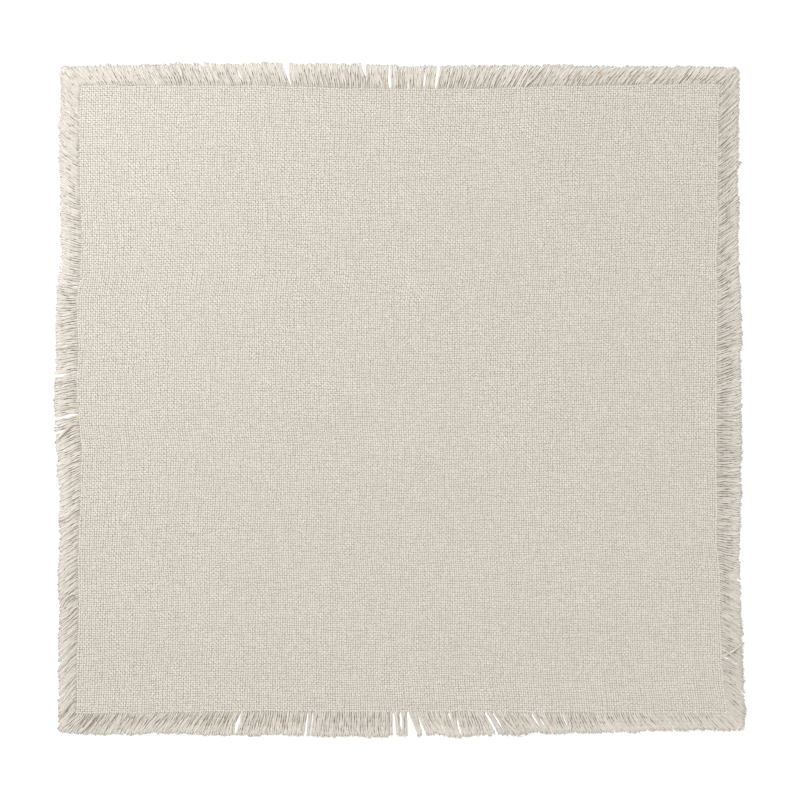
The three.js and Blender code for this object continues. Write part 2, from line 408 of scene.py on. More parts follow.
def lay(cloth, x, y):
    """Moves points of a true rectangle to where the napkin's slightly uneven outline puts them."""
    across = np.clip(0.5 + x / cloth.width, 0, 1)
    up = np.clip(0.5 + y / cloth.depth, 0, 1)
    left_out = -read_lie(LEFT_LIE, "out", up) * MM
    right_out = read_lie(RIGHT_LIE, "out", up) * MM
    bottom_out = -read_lie(BOTTOM_LIE, "out", across) * MM
    top_out = read_lie(TOP_LIE, "out", across) * MM
    moved_x = x + left_out + (right_out - left_out) * across
    moved_y = y + bottom_out + (top_out - bottom_out) * up
    return moved_x, moved_y


def smooth_step(share):
    """Eases the way from 0 to 1 at both its ends."""
    return share * share * (3 - 2 * share)


def smooth_noise(rng, count, spacing):
    """Random values from about -1 to 1 that change smoothly along a row, one knot to every few items."""
    knots = int(count / spacing) + 4
    values = rng.uniform(-1, 1, knots)
    place = np.arange(count) / spacing
    whole = place.astype(int)
    ease = smooth_step(place - whole)
    return values[whole] * (1 - ease) + values[whole + 1] * ease


def noise_rows(rng, rows, count, spacing):
    """One smooth run of random values for each of several rows."""
    return np.stack([smooth_noise(rng, count, spacing) for _ in range(rows)])


def ripple(rng, x, y, wave_length):
    """A wave that runs over the cloth in a random direction."""
    turn = rng.uniform(0, 2 * math.pi)
    phase = rng.uniform(0, 2 * math.pi)
    return np.sin(2 * math.pi * (x * math.cos(turn) + y * math.sin(turn)) / wave_length + phase)


def drift(x, y, seed):
    """A slow sideways drift of the weave, from about -1 to 1, smooth over the whole cloth."""
    rng = np.random.RandomState(seed)
    return sum(ripple(rng, x, y, wave_length) for wave_length in (0.19, 0.11, 0.062, 0.037, 0.021)) / 3


def drift_fine(x, y):
    """Patches a few yarns wide where one set of yarns lies closer than the other, from about -1 to 1."""
    rng = np.random.RandomState(9)
    return sum(ripple(rng, x, y, rng.uniform(0.011, 0.030)) for _ in range(14)) / 4


def face_starts(sizes):
    """Where each face begins in the run of all corners."""
    return np.concatenate(([0], np.cumsum(sizes)[:-1]))


def fill_mesh(name, points, corners, sizes, attributes):
    """A smooth mesh from a list of points and a run of faces, with a value on every point per attribute."""
    mesh = bpy.data.meshes.new(name)
    mesh.vertices.add(len(points))
    mesh.vertices.foreach_set("co", points.astype(np.float32).ravel())
    mesh.loops.add(len(corners))
    mesh.loops.foreach_set("vertex_index", corners.astype(np.int32))
    mesh.polygons.add(len(sizes))
    mesh.polygons.foreach_set("loop_start", face_starts(sizes).astype(np.int32))
    mesh.polygons.foreach_set("loop_total", sizes.astype(np.int32))
    for title, values in attributes.items():
        layer = mesh.attributes.new(title, "FLOAT", "POINT")
        layer.data.foreach_set("value", values.astype(np.float32).ravel())
    mesh.update(calc_edges=True)
    mesh.validate()
    mesh.polygons.foreach_set("use_smooth", np.ones(len(mesh.polygons), dtype=bool))
    return mesh


def put_in_scene(name, data):
    """A new object that holds a mesh, a light or a camera."""
    holder = bpy.data.objects.new(name, data)
    bpy.context.scene.collection.objects.link(holder)
    return holder


def add_piece(name, mesh, material, node):
    """Puts a piece of the napkin in the scene, in the place of the plain solid that it stands for."""
    mesh.materials.append(material)
    piece = put_in_scene(name, mesh)
    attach(piece, "root")
    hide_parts(node)
    return piece


class NodeBench:
    """A short way to set out a material's nodes."""

    def __init__(self, name):
        self.material = bpy.data.materials.new(name)
        self.material.use_nodes = True
        self.tree = self.material.node_tree
        self.shader = self.tree.nodes["Principled BSDF"]

    def add(self, kind, **settings):
        node = self.tree.nodes.new(kind)
        for key, value in settings.items():
            setattr(node, key, value)
        return node

    def feed(self, socket, value):
        if isinstance(value, bpy.types.NodeSocket):
            self.tree.links.new(value, socket)
        else:
            socket.default_value = value

    def attributes(self, *titles):
        return [self.add("ShaderNodeAttribute", attribute_name=title).outputs["Fac"] for title in titles]

    def math(self, operation, first, second=0.0, third=0.0):
        node = self.add("ShaderNodeMath", operation=operation)
        for socket, value in zip(node.inputs, (first, second, third)):
            self.feed(socket, value)
        return node.outputs[0]

    def vector(self, x, y, z):
        node = self.add("ShaderNodeCombineXYZ")
        for socket, value in zip(node.inputs, (x, y, z)):
            self.feed(socket, value)
        return node.outputs[0]

    def noise(self, place, scale, detail=2.0, roughness=0.5):
        node = self.add("ShaderNodeTexNoise")
        settings = {"Vector": place, "Scale": scale, "Detail": detail, "Roughness": roughness}
        for title, value in settings.items():
            self.feed(node.inputs[title], value)
        return node.outputs["Fac"]

    def spread(self, value, low, high):
        """Stretches a value that runs from 0 to 1 so that it runs from low to high."""
        node = self.add("ShaderNodeMapRange")
        self.feed(node.inputs["Value"], value)
        self.feed(node.inputs["To Min"], low)
        self.feed(node.inputs["To Max"], high)
        return node.outputs["Result"]

    def blend(self, share, first, second, mode="MIX"):
        node = self.add("ShaderNodeMix", data_type="RGBA", blend_type=mode)
        colour_inputs = [socket for socket in node.inputs if socket.type == "RGBA"]
        self.feed(node.inputs["Factor"], share)
        self.feed(colour_inputs[0], first)
        self.feed(colour_inputs[1], second)
        return next(socket for socket in node.outputs if socket.type == "RGBA")

    def grey(self, value):
        node = self.add("ShaderNodeCombineColor")
        for socket in node.inputs:
            self.feed(socket, value)
        return node.outputs[0]

    def tone(self, colour, level, *others):
        """Makes a colour lighter or darker by each of the levels."""
        for other in others:
            level = self.math("MULTIPLY", level, other)
        return self.blend(1.0, colour, self.grey(level), "MULTIPLY")

    def finish(self, colour, fibres, roughness, sheen):
        """Matt cotton whose fibres stand a little out of its surface."""
        relief = self.add("ShaderNodeBump")
        relief.inputs["Strength"].default_value = 0.5
        relief.inputs["Distance"].default_value = 0.0002
        self.feed(relief.inputs["Height"], fibres)
        inputs = self.shader.inputs
        self.feed(inputs["Base Color"], colour)
        self.feed(inputs["Roughness"], roughness)
        self.feed(inputs["Normal"], relief.outputs[0])
        inputs["Specular IOR Level"].default_value = 0.2
        inputs["Sheen Weight"].default_value = sheen
        inputs["Sheen Roughness"].default_value = 0.55
        inputs["Sheen Tint"].default_value = (0.95, 0.92, 0.86, 1)
        return self.material


def rgba(colour):
    return (*colour, 1.0)


def woven_cotton(cloth):
    """Coarse natural cotton in the weave, with painted shade where yarns dip and meet, fibres and soft
    patches.
    """
    bench = NodeBench("woven_cotton")
    across, along, shade, dip, gap = bench.attributes("across", "along", "shade", "dip", "gap")
    place = bench.add("ShaderNodeNewGeometry").outputs["Position"]
    patches = bench.noise(place, 18.0, 3.0)
    mottle = bench.noise(place, 420.0, 2.0, 0.6)
    fibre_across = bench.math("MULTIPLY", across, 3.2)
    fibre_along = bench.math("MULTIPLY", along, 900.0)
    fibre_place = bench.vector(fibre_across, fibre_along, shade)
    fibres = bench.noise(fibre_place, 1.6, 3.0, 0.65)
    # Painted shade: darker towards each yarn's edges, by how much gap it has, and where it dips under the
    # other set.
    edge = bench.math("MULTIPLY", across, across)
    hollow = bench.math("MULTIPLY_ADD", edge, gap, dip)
    hollow = bench.math("MINIMUM", hollow, 1.0)
    colour = bench.blend(hollow, rgba(cloth.colour), rgba(cloth.shade_colour))
    levels = [bench.spread(patches, 0.975, 1.025), bench.spread(mottle, 0.92, 1.08)]
    levels.append(bench.spread(fibres, 0.88, 1.12))
    colour = bench.tone(colour, *levels, bench.math("ADD", shade, 1.0))
    return bench.finish(colour, fibres, bench.spread(fibres, 0.82, 0.98), 0.25)


def fringe_cotton(fringe):
    """The same cotton let loose: twisted plies with a nap and painted shade low down, paler towards the
    frayed ends, partly by painted light.
    """
    bench = NodeBench("fringe_cotton")
    run, reach, around, shade, hollow = bench.attributes("run", "reach", "around", "shade", "hollow")
    place = bench.add("ShaderNodeNewGeometry").outputs["Position"]
    patches = bench.noise(place, 30.0, 3.0)
    fibre_place = bench.vector(bench.math("MULTIPLY", around, 5.0), bench.math("MULTIPLY", run, 700.0), shade)
    fibres = bench.noise(fibre_place, 1.8, 3.0, 0.65)
    # Paler towards the ends: partly the yarns' own paler ends and partly painted light that lifts the shaded
    # ends.
    tip = bench.math("POWER", reach, 2.2)
    colour = bench.blend(tip, rgba(fringe.colour), rgba(fringe.tip_colour))
    # Painted shade: the hollow value lays the hollow shade colour where the yarns lie low and between them.
    colour = bench.blend(hollow, colour, rgba(fringe.hollow_shade_colour))
    levels = [bench.spread(patches, 0.96, 1.04), bench.spread(fibres, 0.86, 1.14)]
    colour = bench.tone(colour, *levels, bench.math("ADD", shade, 1.0))
    return bench.finish(colour, fibres, bench.spread(fibres, 0.84, 0.98), 0.3)


def table_paint(stage):
    """A matt white table top that is softly lit from beneath, as a light table is."""
    bench = NodeBench("table_paint")
    inputs = bench.shader.inputs
    inputs["Base Color"].default_value = rgba(stage.table_colour)
    inputs["Roughness"].default_value = 0.9
    inputs["Specular IOR Level"].default_value = 0.0
    inputs["Emission Color"].default_value = (1.0, 1.0, 1.0, 1.0)
    inputs["Emission Strength"].default_value = stage.table_glow
    return bench.material


def yarn_lines(count, size):
    """Middles of evenly set yarns over a size."""
    return (np.arange(count) + 0.5) * (size / count) - size / 2


def weave_yarns(name, cloth, across_warp, seed):
    """One set of the cloth's yarns as ribbons that rise and dip over and under the other set."""
    if across_warp:
        count, crossings = cloth.weft_yarns, cloth.warp_yarns
        spacing, length, width_along = cloth.depth / cloth.weft_yarns, cloth.width, cloth.depth
    else:
        count, crossings = cloth.warp_yarns, cloth.weft_yarns
        spacing, length, width_along = cloth.width / cloth.warp_yarns, cloth.depth, cloth.width
    rng = np.random.RandomState(seed)
    lines = yarn_lines(count, width_along)
    stations = np.concatenate(([-length / 2], yarn_lines(crossings, length), [length / 2]))
    parity = (np.arange(count)[:, None] + np.arange(-1, crossings + 1)[None, :]) % 2
    sign = np.where(parity == (1 if across_warp else 0), 1.0, -1.0)
    sign[:, [0, -1]] = 0.0

    swell = 0.5 * noise_rows(rng, *sign.shape, 9.0) + 0.9 * noise_rows(rng, *sign.shape, 2.6)
    thick = rng.uniform(-0.02, 0.02, count)[:, None]
    sway = spacing * (0.07 * noise_rows(rng, *sign.shape, 11.0) + 0.20 * noise_rows(rng, *sign.shape, 2.6))
    middle = lines[:, None] + sway + np.zeros_like(stations)[None, :]
    run = np.broadcast_to(stations[None, :], middle.shape)
    lead = drift_fine(middle, run) if across_warp else -drift_fine(run, middle)
    half = 0.5 * spacing * cloth.cover * (1 + cloth.slub * swell + thick + 0.03 * lead)
    half = np.minimum(half, 0.53 * spacing)

    rows = []
    for edge in (-1, 1):
        beside = middle + edge * half
        x, y = (run, beside) if across_warp else (beside, run)
        shift_x = drift(x, y, 3) * cloth.wander
        shift_y = drift(x, y, 4) * cloth.wander
        x, y = lay(cloth, x, y)
        height = cloth.middle + sign * cloth.rise * (1 + 0.12 * swell)
        rows.append(np.stack([x + shift_x, y + shift_y, height], axis=-1))
    points = np.stack(rows, axis=2)
    numbers = np.arange(points.shape[0] * points.shape[1] * 2).reshape(points.shape[:3])
    first, second = numbers[:, :-1], numbers[:, 1:]
    turns = (second[..., 0], first[..., 1]) if across_warp else (first[..., 1], second[..., 0])
    faces = np.stack([first[..., 0], turns[0], second[..., 1], turns[1]], axis=-1)

    shape = points.shape[:3]
    shades = rng.normal(0, 0.005, count)[:, None, None] + rng.normal(0, 0.034, sign.shape)[:, :, None]
    # gap and dip set how much painted shade a yarn gets at its edges and where it dips under the other set;
    # the outermost edges of the cloth get little.
    evenness = 0.58 if across_warp else 0.70
    gaps = np.clip(evenness - 0.18 * lead + rng.normal(0, 0.16, sign.shape), 0.1, 1)[:, :, None]
    gaps = np.repeat(gaps, 2, axis=2)
    gaps[0, :, 0] *= 0.2
    gaps[-1, :, 1] *= 0.2
    dips = np.clip(-sign, 0, 1)[:, :, None] * (0.85 if across_warp else 0.70)
    attributes = {
        "across": np.broadcast_to(np.array([-1.0, 1.0])[None, None, :], shape),
        "along": np.broadcast_to(stations[None, :, None] + rng.uniform(0, 5, count)[:, None, None], shape),
        "shade": np.broadcast_to(shades, shape),
        "dip": np.broadcast_to(dips, shape),
        "gap": gaps,
    }
    flat_faces = faces.reshape(-1, 4)
    sizes = np.full(len(flat_faces), 4)
    mesh = fill_mesh(name, points.reshape(-1, 3), flat_faces.ravel(), sizes, attributes)
    round_yarns(mesh, points, faces, across_warp, sign)
    return mesh


def unit(vectors):
    """The same directions, each of length one."""
    return vectors / np.linalg.norm(vectors, axis=-1)[..., None]


def round_yarns(mesh, points, faces, across_warp, sign):
    """Turns the ribbons' normals so that light falls on them as on round yarns."""
    crown = 0.42
    ends = points.mean(axis=2)
    step = ends[:, 1:] - ends[:, :-1]
    slope = step[..., 2] / np.linalg.norm(step[..., :2], axis=-1)
    forward = unit(step[..., :2])
    sideways = np.stack([forward[..., 1], -forward[..., 0]], axis=-1)
    if across_warp:
        sideways = -sideways
    normals = np.zeros((*faces.shape, 3))
    corner_ends = (0, 1, 1, 0) if across_warp else (0, 0, 1, 1)
    corner_edges = (-1, -1, 1, 1) if across_warp else (-1, 1, 1, -1)
    for corner, (end, edge) in enumerate(zip(corner_ends, corner_edges)):
        here = sign[:, :-1] if end == 0 else sign[:, 1:]
        tilt = np.where(here > 0, 0.25, 1.25) * slope
        flat = -forward * tilt[..., None] + sideways * (edge * crown)
        whole = np.concatenate([flat, np.ones((*flat.shape[:2], 1))], axis=-1)
        normals[:, :, corner] = unit(whole)
    mesh.normals_split_custom_set(normals.reshape(-1, 3))


def on_napkin(side, u, v):
    """Turns places along a side and out from it into places on the whole napkin."""
    return u * side.along[0] + v * side.outward[0], u * side.along[1] + v * side.outward[1]


def tuft_numbers(rng, count, smallest, largest):
    """Sorts neighbouring yarns into tufts, and gives each yarn its tuft's number."""
    sizes = rng.randint(smallest, largest + 1, count)
    return np.repeat(np.arange(count), sizes)[:count]


def tuft_mean(numbers, values):
    totals = np.bincount(numbers, weights=values)
    counts = np.bincount(numbers)
    return (totals / np.maximum(counts, 1))[numbers]


# The middle lines of one side's loose yarns, point by point, and what each yarn is like. hollow is how much
# painted shade each point gets, and shade is each yarn's tone, partly painted shade.
Comb = namedtuple("Comb", "across outward height length low hollow fluff shade")

# Points of round strands, set out by strand, ring and side, with the values that the finish reads. hollow is
# how much painted shade they get.
Strands = namedtuple("Strands", "points hollow run reach around shade")


def comb_side(cloth, fringe, side):
    """The middle lines of one side's loose yarns, from the cloth's edge to their ends."""
    rng = np.random.RandomState(side.seed)
    upright = side.along == (1, 0)
    count = cloth.warp_yarns if upright else cloth.weft_yarns
    size = cloth.width if upright else cloth.depth
    spacing = size / count
    lines = yarn_lines(count, size)
    at = 0.5 + lines / size
    edge = (cloth.depth if upright else cloth.width) / 2
    if upright:
        x, y = lay(cloth, lines, np.full(count, edge * side.outward[1]))
    else:
        x, y = lay(cloth, np.full(count, edge * side.outward[0]), lines)
    root_u = x if upright else y
    root_v = (y * side.outward[1]) if upright else (x * side.outward[0])

    tufts = tuft_numbers(rng, count, 2, 6)
    low = np.concatenate(([True], tufts[1:] != tufts[:-1]))
    tuft_length = rng.normal(0, 0.018, count)[tufts] + 0.035 * smooth_noise(rng, count, 8.0)
    tuft_gather = np.where(low, 0, fringe.gather * rng.uniform(0.3, 1.6, count)[tufts])
    lean = read_lie(side.lie, "lean", at) + 3.0 * smooth_noise(rng, count, 7.0) + rng.normal(0, 1.1, count)
    wild = rng.uniform(0, 1, count) < 0.05
    lean = lean + np.where(wild & ~low, rng.normal(0, 7, count), 0)
    fan_width = 26 * MM
    fan_lean = 52.0
    corner = np.clip(1 - np.minimum(at, 1 - at) * size / fan_width, 0, 1)
    corner_lean = np.where(at < 0.5, -fan_lean, fan_lean)
    lean = lean + (corner_lean - lean) * corner ** 1.4
    turn = np.radians(lean)
    straight = np.cos(np.radians(read_lie(side.lie, "lean", at)))
    length = read_lie(side.lie, "length", at) * MM
    length = length * np.where(corner > 0, np.clip(straight / np.cos(turn), 1, 1.35), 1)
    length = length * trim_corners(side, root_u, root_v, length, turn)
    length = length * (1 + tuft_length + rng.normal(0, 0.018, count))
    tip_u = root_u + length * np.sin(turn)
    tip_v = root_v + length * np.cos(turn)
    tip_u = tip_u + (tuft_mean(tufts, tip_u) - tip_u) * np.clip(tuft_gather, 0, 0.8)
    tip_u = close_up(tip_u)
    between = 0.5 * (np.roll(tip_u, 1) + np.roll(tip_u, -1))
    between[0], between[-1] = tip_u[0], tip_u[-1]
    tip_u = np.where(low, between, tip_u)

    rings = 17
    share = np.linspace(0, 1, rings)[None, :]
    ease = 0.06
    swing = share + ease * (np.exp(-share / ease) - 1)
    swing = swing / swing[:, -1:]
    bow = 0.7 * MM * smooth_noise(rng, count, 9.0) + rng.normal(0, 0.22 * MM, count)
    curl = rng.normal(0, 0.9 * MM, count)
    lift = np.zeros(count)
    for stray in side.strays:
        nearest = int(np.argmin(np.abs(root_u - stray.at * MM)))
        for step, share_left in ((1, 0.36), (2, 0.16)):
            for beside in (nearest - step, nearest + step):
                if 0 <= beside < count:
                    tip_u[beside] += share_left * (tip_u[nearest] - tip_u[beside])
        tip_u[nearest] = root_u[nearest] + stray.reach * MM
        bow[nearest] = stray.bow * MM
        lift[nearest] = stray.lift * MM
    across = root_u[:, None] + (tip_u - root_u)[:, None] * swing
    across = across + bow[:, None] * np.sin(math.pi * share)
    across = across + curl[:, None] * np.clip(share - 0.7, 0, 1) ** 2 * 4
    outward = root_v[:, None] + (tip_v - root_v)[:, None] * share - 0.12 * spacing
    travelled = length[:, None] * share
    wave = 2 * math.pi * travelled / (2 * spacing) + rng.uniform(0, 0.8, count)[:, None]
    wave_two = 2 * math.pi * travelled / (5.5 * spacing) + rng.uniform(0, 6.28, count)[:, None]
    across = across + fringe.crimp * (0.6 * np.sin(wave) + 0.9 * np.sin(wave_two)) * np.minimum(share * 6, 1)
    across = part_yarns(side, across, share)

    over_warp_end = 0 if upright else 1
    over = np.where(np.arange(count) % 2 == over_warp_end, 1.0, -1.0)[:, None]
    outward = outward - np.where(over > 0, 0.38, 0.0) * spacing * np.clip(1 - share / 0.08, 0, 1)
    fluff = fluff_at(side, root_u, root_v)
    heap = np.where(low, np.clip(0.15 + 0.3 * fluff, 0.03, 0.5), rng.uniform(0.45, 0.95, count))
    clearance = 0.22 * MM
    lowest = fringe.ply_height * 0.5 + clearance
    layer_height = heap[:, None] * 0.95 * MM * (1 - 0.75 * share)
    settle = smooth_step(np.clip(share / 0.2, 0, 1))
    root_height = cloth.middle - 0.5 * cloth.rise
    height = root_height * (1 - settle) + (lowest + layer_height) * settle
    height = height + fringe.crimp * np.cos(wave) * (1 - share)
    height = height + lift[:, None] * np.sin(math.pi * share) ** 0.7
    hollow = hollow_at(side, across, outward - root_v[:, None])
    height = height - hollow * 0.9 * MM
    height = np.maximum(height, lowest)
    # Painted shade in the furrows beside the low yarns at the tufts' edges, strongest a little out from the
    # root and none at the tip.
    crevice_shade = np.where(low, 0.32, 0.0)[:, None] * np.interp(share, (0, 0.12, 0.6, 1), (0.5, 1, 0.6, 0.0))
    hollow = np.clip(hollow + crevice_shade * furrow_depth(fluff), 0, 1)
    # Each yarn's tone is random, with painted shade added from its side's tone and a little more where the
    # fringe lies sleek.
    shade = rng.normal(side.tone, 0.035, count) + 0.05 * np.minimum(fluff, 0)
    return Comb(across, outward, height, length, low, hollow, fluff, shade), rng


def trim_corners(side, root_u, root_v, length, turn):
    """The share of each yarn that is kept so that the corners of the fringe come out rounded."""
    kept = np.full_like(length, 0.5)
    for share in np.linspace(0.5, 1.0, 26):
        u = root_u + length * share * np.sin(turn)
        v = root_v + length * share * np.cos(turn)
        x, y = on_napkin(side, u, v)
        inside = np.ones(len(u), dtype=bool)
        for corner in CORNERS:
            here = (x * corner.x > 0) & (y * corner.y > 0)
            past_x = np.abs(x) - (abs(corner.x) - corner.radius) * MM
            past_y = np.abs(y) - (abs(corner.y) - corner.radius) * MM
            near = (past_x > 0) & (past_y > 0)
            inside &= ~(here & near & (np.hypot(past_x, past_y) > corner.radius * MM))
        kept = np.where(inside, share, kept)
    return kept


def close_up(tips):
    """Eases neighbouring yarn ends together where they lie far apart, and apart where they crowd."""
    widest, closest, rounds = 2.0 * MM, 1.0 * MM, 40
    eased = tips.copy()
    for _ in range(rounds):
        step = np.diff(eased)
        pull = 0.25 * (np.clip(step - widest, 0, None) - np.clip(closest - step, 0, None))
        eased[:-1] += pull
        eased[1:] -= pull
    return eased


def furrow_depth(fluff):
    """How much painted shade goes into the furrows beside each yarn, less where it is fluffy and more where
    it is sleek.
    """
    return np.clip(1 - 0.7 * fluff, 0.2, 2)[:, None]


def fluff_at(side, root_u, root_v):
    """How fluffy each yarn is: about 1 at the most, and below 0 where the fringe lies sleek."""
    x, y = on_napkin(side, root_u, root_v)
    total = np.zeros_like(x)
    for fluff in FLUFFS:
        far = np.hypot(x - fluff.x * MM, y - fluff.y * MM) / (fluff.radius * MM)
        total += fluff.amount * np.exp(-far ** 2)
    return total


def hollow_at(side, across, out):
    """How deep in a hollow each point of the yarns lies, from 0 to 1, which also sets how much painted shade
    it gets.
    """
    total = np.zeros_like(across)
    for hollow in side.hollows:
        aside = (across - hollow.at * MM) / 0.6
        far = np.hypot(aside, out - hollow.out * MM) / (hollow.radius * MM)
        total += hollow.depth * np.exp(-far ** 2)
    return np.clip(total, 0, 1)


def part_yarns(side, across, share):
    """Draws the yarns aside where the table shows between them."""
    widest_reach = 7.0 * MM
    half_yarn = 0.48 * MM
    partings = sorted(side.partings, key=lambda parting: parting.root)
    lines = [(parting.root + (parting.tip - parting.root) * share) * MM for parting in partings]
    moved = np.zeros_like(across)
    for number, (parting, line) in enumerate(zip(partings, lines)):
        gap = np.interp(share, (0, 0.5, 1), (parting.root_gap, parting.mid_gap, parting.tip_gap))
        opening = np.clip((gap + 1.2) / 1.2, 0, 1) * np.clip(share / 0.05, 0, 1)
        for hand in (-1, 1):
            beyond = number + hand
            room = np.abs(lines[beyond] - line) / 2 if 0 <= beyond < len(lines) else widest_reach
            reach = np.minimum(room, widest_reach)
            clear = np.clip(gap * 0.5 * MM + np.minimum(half_yarn, 0.7 * reach), 0, 0.9 * reach)
            nearest = hand * (across[:, :1] - parting.root * MM) > 0
            far = np.maximum(hand * (across - line), 0)
            pushed = clear + far * (1 - clear / reach)
            shift = np.where(nearest & (far < reach), pushed - hand * (across - line), 0)
            moved += hand * shift * opening
    return across + moved


def middle_lines(comb):
    return np.stack([comb.across, comb.outward, comb.height], axis=-1)


def directions_beside(line):
    """Level directions square to each line at each of its points."""
    tangent = np.gradient(line[..., :2], axis=1)
    size = np.linalg.norm(tangent, axis=-1)[..., None]
    return np.stack([-tangent[..., 1], tangent[..., 0]], axis=-1) / np.maximum(size, 1e-9)


def twist_plies(fringe, comb, rng):
    """Two plies twisted round each yarn's middle line, closed at both ends."""
    count, rings = comb.across.shape
    sides = 5
    breadth = np.where(comb.low, 1.35, 1.0)
    line = middle_lines(comb)
    beside = directions_beside(line)
    beside = np.concatenate([beside, np.zeros_like(beside[..., :1])], axis=-1)
    share = np.linspace(0, 1, rings)[None, :]
    travelled = comb.length[:, None] * share
    turns = 2 * math.pi * travelled / fringe.twist * rng.uniform(0.85, 1.2, count)[:, None]
    turns = turns + rng.uniform(0, 2 * math.pi, count)[:, None]
    swell = 1 + 0.10 * noise_rows(rng, count, rings, 5.0)
    fray = (rng.uniform(0.6, 1.6, count) * (1 + 0.6 * np.maximum(comb.fluff, 0)))[:, None]
    taper = np.interp(share, (0, 0.05, 0.86, 0.96, 1), (0.85, 1, 1.05, 0.9, 0.5)) * swell
    splay = 1 + fray * np.clip((share - 0.72) / 0.28, 0, 1) ** 1.5 * 0.5
    flatten = np.interp(share, (0, 0.15, 0.5, 1), (1.05, 1.0, 1.1, 1.35))
    flatten = flatten * (1 + (breadth[:, None] - 1) * share)
    up = np.array([0.0, 0.0, 1.0])
    plies, arounds = [], []
    for ply in (0, 1):
        angle = turns + ply * math.pi
        beside_share = np.tanh(2.6 * np.cos(angle))
        centre = line + beside * (fringe.yarn_spread * flatten * splay * beside_share)[..., None]
        centre = centre + up * (0.5 * fringe.yarn_spread * np.sin(angle))[..., None]
        around = np.arange(sides) / sides
        ring_angle = 2 * math.pi * around[None, None, :] + angle[..., None]
        wide = (0.5 * fringe.ply_width * flatten * taper)[..., None] * np.cos(ring_angle)
        high = (0.5 * fringe.ply_height * taper)[..., None] * np.sin(ring_angle)
        points = centre[:, :, None, :] + beside[:, :, None, :] * wide[..., None] + up * high[..., None]
        plies.append(points)
        arounds.append(np.broadcast_to(around[None, None, :], wide.shape))
    points = np.stack(plies, axis=1)
    # Painted shade: the lower a ply lies the more hollow shade colour it gets, little at the root, none at
    # the tip and less where the fringe is fluffy.
    low_shade = 1 - np.clip((points[..., 2] - 0.25 * MM) / (0.6 * MM), 0, 1)
    low_shade = low_shade * np.interp(share, (0, 0.15, 0.4, 1), (0.2, 1, 0.9, 0))[:, None, :, None]
    low_shade = low_shade * np.clip(0.45 - 0.2 * comb.fluff, 0, 1)[:, None, None, None]
    hollow = np.clip(low_shade + comb.hollow[:, None, :, None], 0, 1)
    run = travelled[:, None, :, None] + rng.uniform(0, 9, (count, 2))[:, :, None, None]
    pair = (count * 2, rings, sides)
    return Strands(
        points.reshape(*pair, 3),
        hollow.reshape(pair),
        np.broadcast_to(run, points.shape[:4]).reshape(pair),
        share[..., None],
        np.stack(arounds, axis=1).reshape(pair),
        np.repeat(comb.shade, 2)[:, None, None],
    )


def soft_cores(fringe, comb, rng):
    """The flat fluffy core of each yarn, which lies on the table and fills the cracks between the plies."""
    count = comb.across.shape[0]
    line = np.stack([comb.across, comb.outward], axis=-1)[:, ::2].copy()
    line[:, 0, 1] -= 1.6 * MM
    rings = line.shape[1]
    beside = directions_beside(line)
    share = np.linspace(0, 1, rings)[None, :]
    taper = np.interp(share, (0, 0.85, 1), (1, 0.95, 0.45))
    half = 0.5 * fringe.core_width * taper * (1 + 0.12 * noise_rows(rng, count, rings, 3.0))
    thick = 0.16 * MM * taper
    middle = np.interp(share, (0, 0.15, 1), (0.54, 0.46, 0.26)) * MM
    points = []
    for sideways, up in ((-1, 0), (0, 1), (1, 0), (0, -1)):
        place = line + beside * (half * sideways)[..., None]
        height = np.broadcast_to(middle + thick * up, half.shape)
        points.append(np.concatenate([place, height[..., None]], axis=-1))
    # Painted shade on the cores where they show between the plies, deepest a little out from the root.
    depth = np.interp(share, (0, 0.12, 0.3, 0.6, 0.9), (0.06, 0.18, 0.26, 0.18, 0.0))
    depth = depth * furrow_depth(comb.fluff)
    run = comb.length[:, None] * share + rng.uniform(0, 9, count)[:, None]
    shade = comb.shade[:, None, None]
    return Strands(np.stack(points, axis=2), depth[..., None], run[..., None], share[..., None], 0.5, shade)


def thin_strands(comb, yarn, base, angle, curve, reach, rise, radius, steps):
    """Fine tapering fibres that start at given points of the yarns."""
    share = np.linspace(0, 1, steps)[None, :]
    bend = angle[:, None] + curve[:, None] * share
    stride = reach[:, None] / (steps - 1)
    x = base[:, 0:1] + np.cumsum(np.sin(bend) * stride, axis=1) - np.sin(bend[:, :1]) * stride
    y = base[:, 1:2] + np.cumsum(np.cos(bend) * stride, axis=1) - np.cos(bend[:, :1]) * stride
    z = np.maximum(base[:, 2:3] + rise[:, None] * share, 0.10 * MM)
    centre = np.stack([x, y, z], axis=-1)
    beside = np.stack([-np.cos(bend), np.sin(bend), np.zeros_like(bend)], axis=-1)
    width = (radius * (1 - 0.75 * share))[..., None]
    up = np.array([0.0, 0.0, 1.0])
    third = 2 * math.pi / 3
    turns = (0.0, third, 2 * third)
    sides = [centre + beside * width * math.cos(turn) + up * width * math.sin(turn) for turn in turns]
    # Painted light: the fibres are a little lighter than their yarn, to lift them out of the yarns' shade.
    shade = comb.shade[yarn][:, None, None] + 0.10
    return Strands(np.stack(sides, axis=2), 0.0, share[..., None] * 0.004, 1.0, 0.5, shade)


